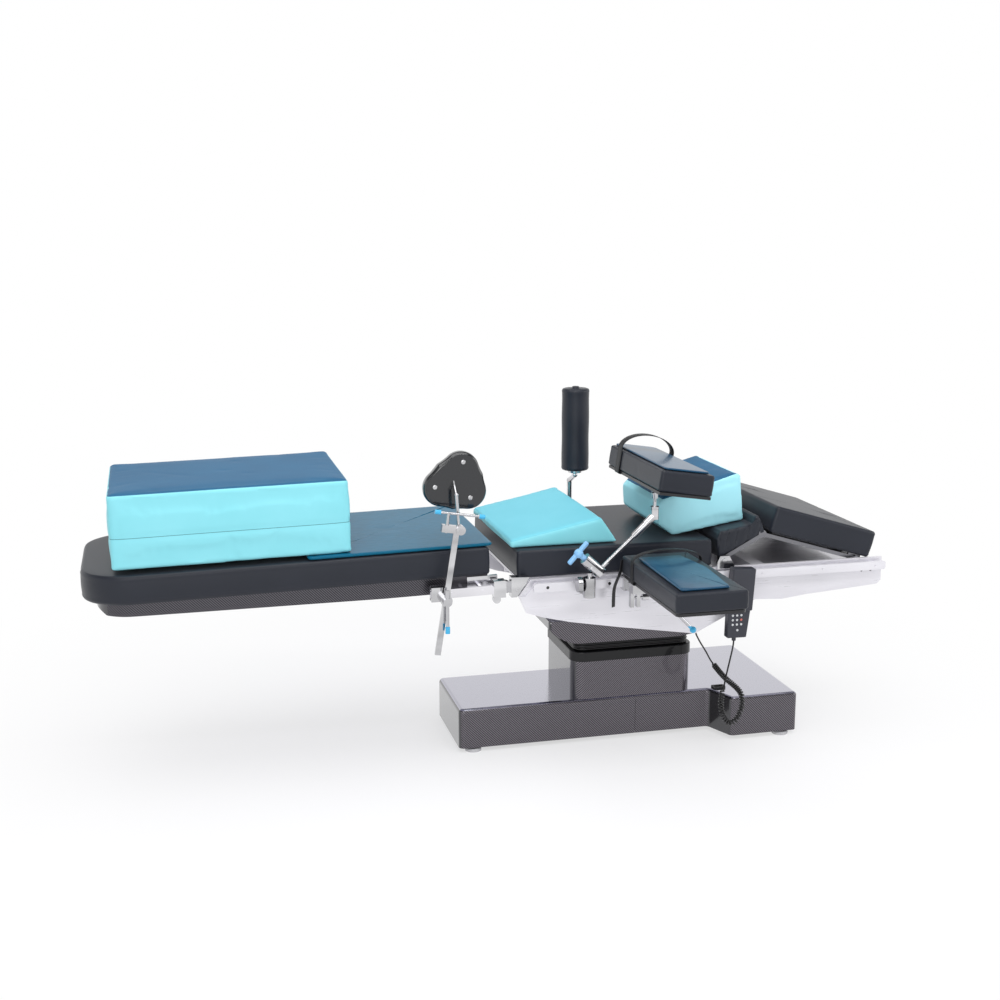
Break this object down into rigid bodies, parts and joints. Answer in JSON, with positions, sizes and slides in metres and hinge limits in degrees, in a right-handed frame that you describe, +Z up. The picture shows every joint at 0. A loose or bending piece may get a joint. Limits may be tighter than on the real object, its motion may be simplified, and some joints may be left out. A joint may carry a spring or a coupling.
{
  "type": "operating table",
  "caption": "Column-mounted operating table with carbon casings, folding leg section, raised thorax bridge, slate pads, blue cushions and rail-mounted arm, back and pelvic supports.",
  "frame": {"origin": "the floor point on the lifting column's axis", "axes": "+X to the head end, +Y to the far side away from the arm board, +Z up; the tabletop is level and the column is fully lowered"},
  "size_m": [2.2811, 1.12, 1.01],
  "materials": {
    "carbon": "clear-coated woven carbon laminate",
    "chassis_paint": "powder-coated welded steel",
    "foot_rubber": "pale grey moulded pad",
    "fork_metal": "zinc-plated",
    "wheel_tyre": "dark grey tread",
    "black_plastic": "matt black",
    "brushed_steel": "brushed stainless",
    "polished_steel": "polished stainless",
    "gaiter": "matt black pleats",
    "mattress_cover": "dark slate coated fabric with a low sheen",
    "blue_cover": "pale turquoise coated fabric",
    "clear_gel": "translucent blue gel in film",
    "handle_blue": "pale blue moulded",
    "handset_shell": "slate grey moulded",
    "cord_rubber": "black cable jacket"
  },
  "bodies": {
    "base": {"base_cover_foot": "carbon", "base_cover_head": "carbon", "base_chassis": "chassis_paint", "levelling_feet": "foot_rubber", "cable_outlet": "black_plastic", "column_cover": "carbon", "column_outer_stage": "chassis_paint", "column_bellows": "gaiter"},
    "castor_near": {"castor_fork_near": "fork_metal"},
    "castor_far": {"castor_fork_far": "fork_metal"},
    "castor_wheel_near": {"castor_wheel_near": "wheel_tyre"},
    "castor_wheel_far": {"castor_wheel_far": "wheel_tyre"},
    "rear_wheels": {"rear_wheels": "wheel_tyre"},
    "column_middle": {"column_middle_stage": "brushed_steel"},
    "column_top": {"column_inner_stage": "brushed_steel", "column_shroud": "carbon", "tilt_head": "brushed_steel"},
    "tilt_yoke": {"tilt_yoke": "brushed_steel"},
    "table_frame": {"cheek_plates": "polished_steel", "side_rails": "polished_steel", "frame_crossbars": "brushed_steel", "bridge_bearings": "polished_steel", "head_sockets": "polished_steel", "knee_blocks_seat": "polished_steel", "seat_mattress": "mattress_cover", "wedge_cushion": "blue_cover", "head_cushion": "blue_cover", "handset": "handset_shell", "handset_cord_lead": "cord_rubber", "handset_cord_coil": "cord_rubber", "handset_cord_tail": "cord_rubber"},
    "bridge_short": {"bridge_a_frame": "brushed_steel", "bridge_a_mattress": "mattress_cover"},
    "bridge_long": {"bridge_b_frame": "brushed_steel", "bridge_b_mattress": "mattress_cover"},
    "leg_section": {"leg_panel": "carbon", "leg_mattress": "mattress_cover", "leg_rails": "polished_steel", "knee_blocks_leg": "polished_steel", "leg_cushion": "blue_cover", "gel_mat": "clear_gel", "pelvic_clamp": "polished_steel"},
    "pelvic_lever": {"pelvic_lever": "polished_steel"},
    "pelvic_post": {"pelvic_post": "polished_steel"},
    "pelvic_screw": {"pelvic_screw": "polished_steel"},
    "pelvic_pad": {"pelvic_arm": "polished_steel", "pelvic_pad": "blue_cover"},
    "arm_clamp": {"arm_clamp": "polished_steel"},
    "arm_head": {"arm_head": "polished_steel"},
    "arm_handle": {"arm_handle": "handle_blue"},
    "arm_rod": {"arm_rod": "polished_steel"},
    "upper_board": {"upper_board": "brushed_steel", "upper_pad": "mattress_cover"},
    "board_clamp": {"board_clamp": "polished_steel"},
    "lower_board": {"lower_board": "brushed_steel", "lower_pad": "mattress_cover"},
    "lower_lever": {"lower_lever": "handle_blue"},
    "back_clamp": {"back_clamp": "polished_steel"},
    "back_post": {"back_post": "polished_steel"},
    "back_roller": {"back_roller": "mattress_cover"}
  },
  "joints": [
    {"name": "castor_near_swivel", "type": "hinge", "parent": "base", "child": "castor_near", "pos_m": [0.36, -0.175, 0.08], "axis": [0, 0, 1], "continuous": true},
    {"name": "castor_far_swivel", "type": "hinge", "parent": "base", "child": "castor_far", "pos_m": [0.36, 0.175, 0.08], "axis": [0, 0, 1], "continuous": true},
    {"name": "castor_near_spin", "type": "hinge", "parent": "castor_near", "child": "castor_wheel_near", "pos_m": [0.34, -0.175, 0.0395], "axis": [0, 1, 0], "continuous": true},
    {"name": "castor_far_spin", "type": "hinge", "parent": "castor_far", "child": "castor_wheel_far", "pos_m": [0.34, 0.175, 0.0395], "axis": [0, 1, 0], "continuous": true},
    {"name": "rear_wheels_spin", "type": "hinge", "parent": "base", "child": "rear_wheels", "pos_m": [-0.44, 0, 0.0395], "axis": [0, 1, 0], "continuous": true},
    {"name": "column_lift", "type": "slide", "parent": "base", "child": "column_top", "axis": [0, 0, 1], "range_m": [0, 0.36], "deforming": ["column_bellows"]},
    {"name": "column_middle_lift", "type": "slide", "parent": "base", "child": "column_middle", "axis": [0, 0, 1], "range_m": [0, 0.18]},
    {"name": "lateral_tilt", "type": "hinge", "parent": "column_top", "child": "tilt_yoke", "pos_m": [0, 0, 0.43], "axis": [1, 0, 0], "range_deg": [-18, 18]},
    {"name": "pitch", "type": "hinge", "parent": "tilt_yoke", "child": "table_frame", "pos_m": [0, 0, 0.465], "axis": [0, 1, 0], "range_deg": [-15, 15]},
    {"name": "leg_fold", "type": "hinge", "parent": "table_frame", "child": "leg_section", "pos_m": [-0.421, 0, 0.525], "axis": [0, 1, 0], "range_deg": [-25, 15]},
    {"name": "bridge_fold", "type": "hinge", "parent": "table_frame", "child": "bridge_short", "pos_m": [0.222, 0, 0.565], "axis": [0, 1, 0], "range_deg": [0, 27.5]},
    {"name": "bridge_ridge", "type": "hinge", "parent": "bridge_short", "child": "bridge_long", "pos_m": [0.34596, 0, 0.63008], "axis": [0, 1, 0], "range_deg": [-39.6, 0]},
    {"name": "pelvic_lever_turn", "type": "hinge", "parent": "leg_section", "child": "pelvic_lever", "pos_m": [-0.603, -0.34, 0.514], "axis": [0, 1, 0], "continuous": true},
    {"name": "pelvic_post_slide", "type": "slide", "parent": "leg_section", "child": "pelvic_post", "axis": [0.1582, 0, 0.9874], "range_m": [-0.08, 0.1]},
    {"name": "pelvic_screw_turn", "type": "hinge", "parent": "pelvic_post", "child": "pelvic_screw", "pos_m": [-0.60076, -0.321, 0.70505], "axis": [0.1582, 0, 0.9874], "range_deg": [-85, 0]},
    {"name": "pelvic_pad_swing", "type": "hinge", "parent": "pelvic_post", "child": "pelvic_pad", "pos_m": [-0.56197, -0.321, 0.70694], "axis": [0, 1, 0], "range_deg": [-20, 15]},
    {"name": "arm_clamp_slide", "type": "slide", "parent": "table_frame", "child": "arm_clamp", "axis": [1, 0, 0], "range_m": [-0.11, 0]},
    {"name": "arm_post_turn", "type": "hinge", "parent": "arm_clamp", "child": "arm_head", "pos_m": [-0.202, -0.34, 0.52], "axis": [0, 0, 1], "range_deg": [-4, 25]},
    {"name": "arm_handle_turn", "type": "hinge", "parent": "arm_head", "child": "arm_handle", "pos_m": [-0.193, -0.34, 0.589], "axis": [0.7431, 0, -0.6691], "continuous": true},
    {"name": "arm_rod_swing", "type": "hinge", "parent": "arm_head", "child": "arm_rod", "pos_m": [-0.193, -0.34, 0.589], "axis": [0.7431, 0, -0.6691], "range_deg": [0, 20]},
    {"name": "upper_board_turn", "type": "hinge", "parent": "arm_rod", "child": "upper_board", "pos_m": [-0.016, -0.34, 0.73], "axis": [0, 0, 1], "range_deg": [-2, 60]},
    {"name": "board_clamp_slide", "type": "slide", "parent": "table_frame", "child": "board_clamp", "axis": [1, 0, 0], "range_m": [0, 0.1]},
    {"name": "lower_board_swing", "type": "hinge", "parent": "board_clamp", "child": "lower_board", "pos_m": [-0.068, -0.352, 0.545], "axis": [0, 0, 1], "range_deg": [-20, 20]},
    {"name": "lower_lever_turn", "type": "hinge", "parent": "lower_board", "child": "lower_lever", "pos_m": [-0.062, -0.5, 0.544], "axis": [0, 1, 0], "range_deg": [-35, 20]},
    {"name": "back_clamp_slide", "type": "slide", "parent": "table_frame", "child": "back_clamp", "axis": [1, 0, 0], "range_m": [-0.1, 0.15]},
    {"name": "back_post_slide", "type": "slide", "parent": "back_clamp", "child": "back_post", "axis": [0, 0, 1], "range_m": [-0.03, 0.04]},
    {"name": "back_roller_spin", "type": "hinge", "parent": "back_post", "child": "back_roller", "pos_m": [-0.062, 0.262, 0.85], "axis": [0, 0, 1], "continuous": true}
  ],
  "couplings": [
    {"joint": "column_middle_lift", "follows": "column_lift", "ratio": 0.5},
    {"joint": "bridge_ridge", "follows": "bridge_fold", "ratio": -1.437}
  ]
}
